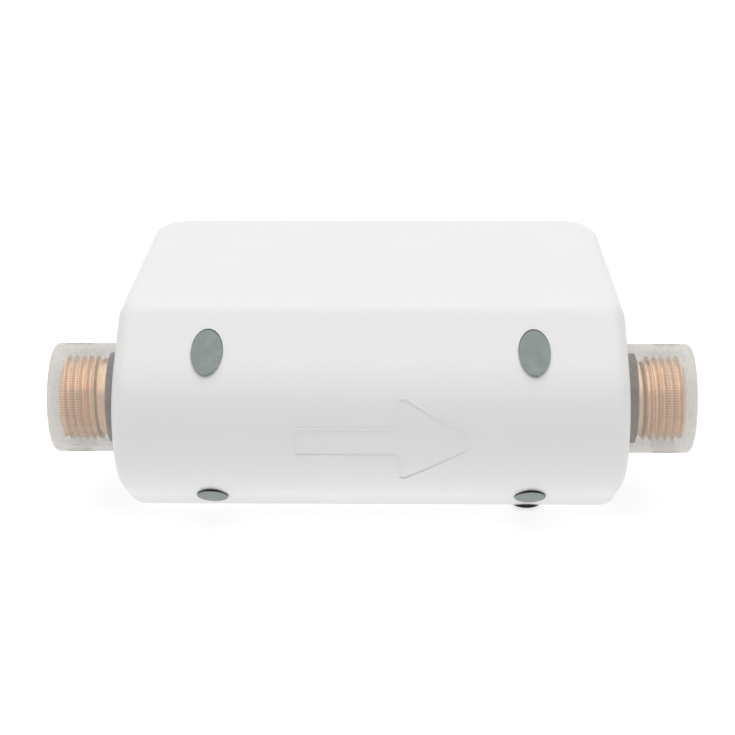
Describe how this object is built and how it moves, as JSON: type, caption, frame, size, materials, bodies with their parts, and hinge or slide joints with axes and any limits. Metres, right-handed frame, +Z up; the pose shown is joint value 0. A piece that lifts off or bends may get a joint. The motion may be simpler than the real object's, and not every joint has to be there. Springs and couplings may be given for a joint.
{
  "type": "motorised ball valve",
  "caption": "Motor-driven ball valve for a half-inch water pipe: round-backed white casing, capped male threads at both ends, flow arrow and push button.",
  "frame": {"origin": "centre of the bounding box's base, under the pipe's axis line", "axes": "+X along the flow from inlet to outlet, +Y from the round back to the front panel, +Z up from the flat lower side"},
  "size_m": [0.158, 0.096, 0.054],
  "materials": {
    "shell_plastic": "fine matt moulded white",
    "panel_plastic": "smooth light grey",
    "button_plastic": "satin moulded",
    "ring_plastic": "frosted translucent",
    "black_rubber": "soft matt",
    "grey_rubber": "grey-green, matt",
    "collar_rubber": "dark blue-grey, matt",
    "cap_plastic": "frosted translucent polyethylene",
    "copper_plate": "warm machined brass",
    "forged_brass": "forged and blasted",
    "chrome": "polished",
    "seat_ptfe": "waxy white",
    "stem_steel": "turned",
    "zinc_steel": "zinc plated",
    "tray_plastic": "black glass-filled",
    "cover_plastic": "black glass-filled",
    "gear_acetal": "natural acetal",
    "gear_white": "white acetal",
    "cam_plastic": "red acetal",
    "motor_steel": "nickel plated",
    "motor_plastic": "nylon",
    "switch_plastic": "black",
    "board_green": "solder mask",
    "can_steel": "tin plated",
    "chip_black": "moulded epoxy",
    "led_white": "white case with resin",
    "cap_sleeve": "sleeved can",
    "lead_insulation": "soft insulation"
  },
  "bodies": {
    "housing": {"back_shell": "shell_plastic", "board_screws": "zinc_steel", "board_switch": "can_steel", "buzzer": "chip_black", "capacitor": "cap_sleeve", "case_screws": "zinc_steel", "closed_switch": "switch_plastic", "cover_screws": "zinc_steel", "drive_screws": "zinc_steel", "driver_chip": "chip_black", "first_pin": "stem_steel", "front_panel": "panel_plastic", "front_shell": "shell_plastic", "gearbox_cover": "cover_plastic", "gearbox_tray": "tray_plastic", "gland_nut": "copper_plate", "inlet_neck_seal": "collar_rubber", "inlet_nipple": "copper_plate", "inlet_seat": "seat_ptfe", "lead_gland": "black_rubber", "lead_headers": "gear_white", "light_ring": "ring_plastic", "main_board": "board_green", "motor_can": "motor_steel", "motor_end_cap": "motor_plastic", "motor_leads": "lead_insulation", "motor_screws": "zinc_steel", "open_switch": "switch_plastic", "outlet_neck_seal": "collar_rubber", "outlet_nipple": "copper_plate", "outlet_seat": "seat_ptfe", "radio_module": "can_steel", "reduction_head": "motor_steel", "screw_plugs": "grey_rubber", "shell_seal": "black_rubber", "status_lights": "led_white", "switch_leads": "lead_insulation", "transfer_pin": "stem_steel", "valve_body": "forged_brass"},
    "valve_rotor": {"ball": "chrome", "stem": "stem_steel", "stem_rings": "black_rubber", "output_gear": "gear_acetal", "position_cam": "cam_plastic"},
    "transfer": {"transfer_gear": "gear_white"},
    "first_stage": {"first_gear": "gear_white"},
    "drive_end": {"motor_pinion": "gear_acetal", "motor_shaft": "stem_steel"},
    "button": {"push_button": "button_plastic", "switch_plunger": "chip_black"},
    "inlet_cover": {"inlet_cap": "cap_plastic"},
    "outlet_cover": {"outlet_cap": "cap_plastic"}
  },
  "joints": [
    {"name": "valve_turn", "type": "hinge", "parent": "housing", "child": "valve_rotor", "pos_m": [0, -0.01982, 0.027], "axis": [0, -1, 0], "range_deg": [0, 90]},
    {"name": "transfer_spin", "type": "hinge", "parent": "housing", "child": "transfer", "pos_m": [0.024, -0.01982, 0.027], "axis": [0, -1, 0], "range_deg": [-342, 0]},
    {"name": "first_spin", "type": "hinge", "parent": "housing", "child": "first_stage", "pos_m": [0.04232, -0.01982, 0.02875], "axis": [0, -1, 0], "range_deg": [0, 1231.2]},
    {"name": "drive_spin", "type": "hinge", "parent": "housing", "child": "drive_end", "pos_m": [0.046, -0.01982, 0.01421], "axis": [0, -1, 0], "range_deg": [-4924.8, 0]},
    {"name": "button_press", "type": "slide", "parent": "housing", "child": "button", "axis": [0, -1, 0], "range_m": [0, 0.0005], "stiffness_N_per_m": 2000, "springref_m": -0.0002},
    {"name": "inlet_cap_pull", "type": "slide", "parent": "housing", "child": "inlet_cover", "axis": [-1, 0, 0], "range_m": [0, 0.02]},
    {"name": "outlet_cap_pull", "type": "slide", "parent": "housing", "child": "outlet_cover", "axis": [1, 0, 0], "range_m": [0, 0.02]}
  ],
  "couplings": [
    {"joint": "transfer_spin", "follows": "valve_turn", "ratio": -3.8},
    {"joint": "first_spin", "follows": "valve_turn", "ratio": 13.68},
    {"joint": "drive_spin", "follows": "valve_turn", "ratio": -54.72}
  ]
}
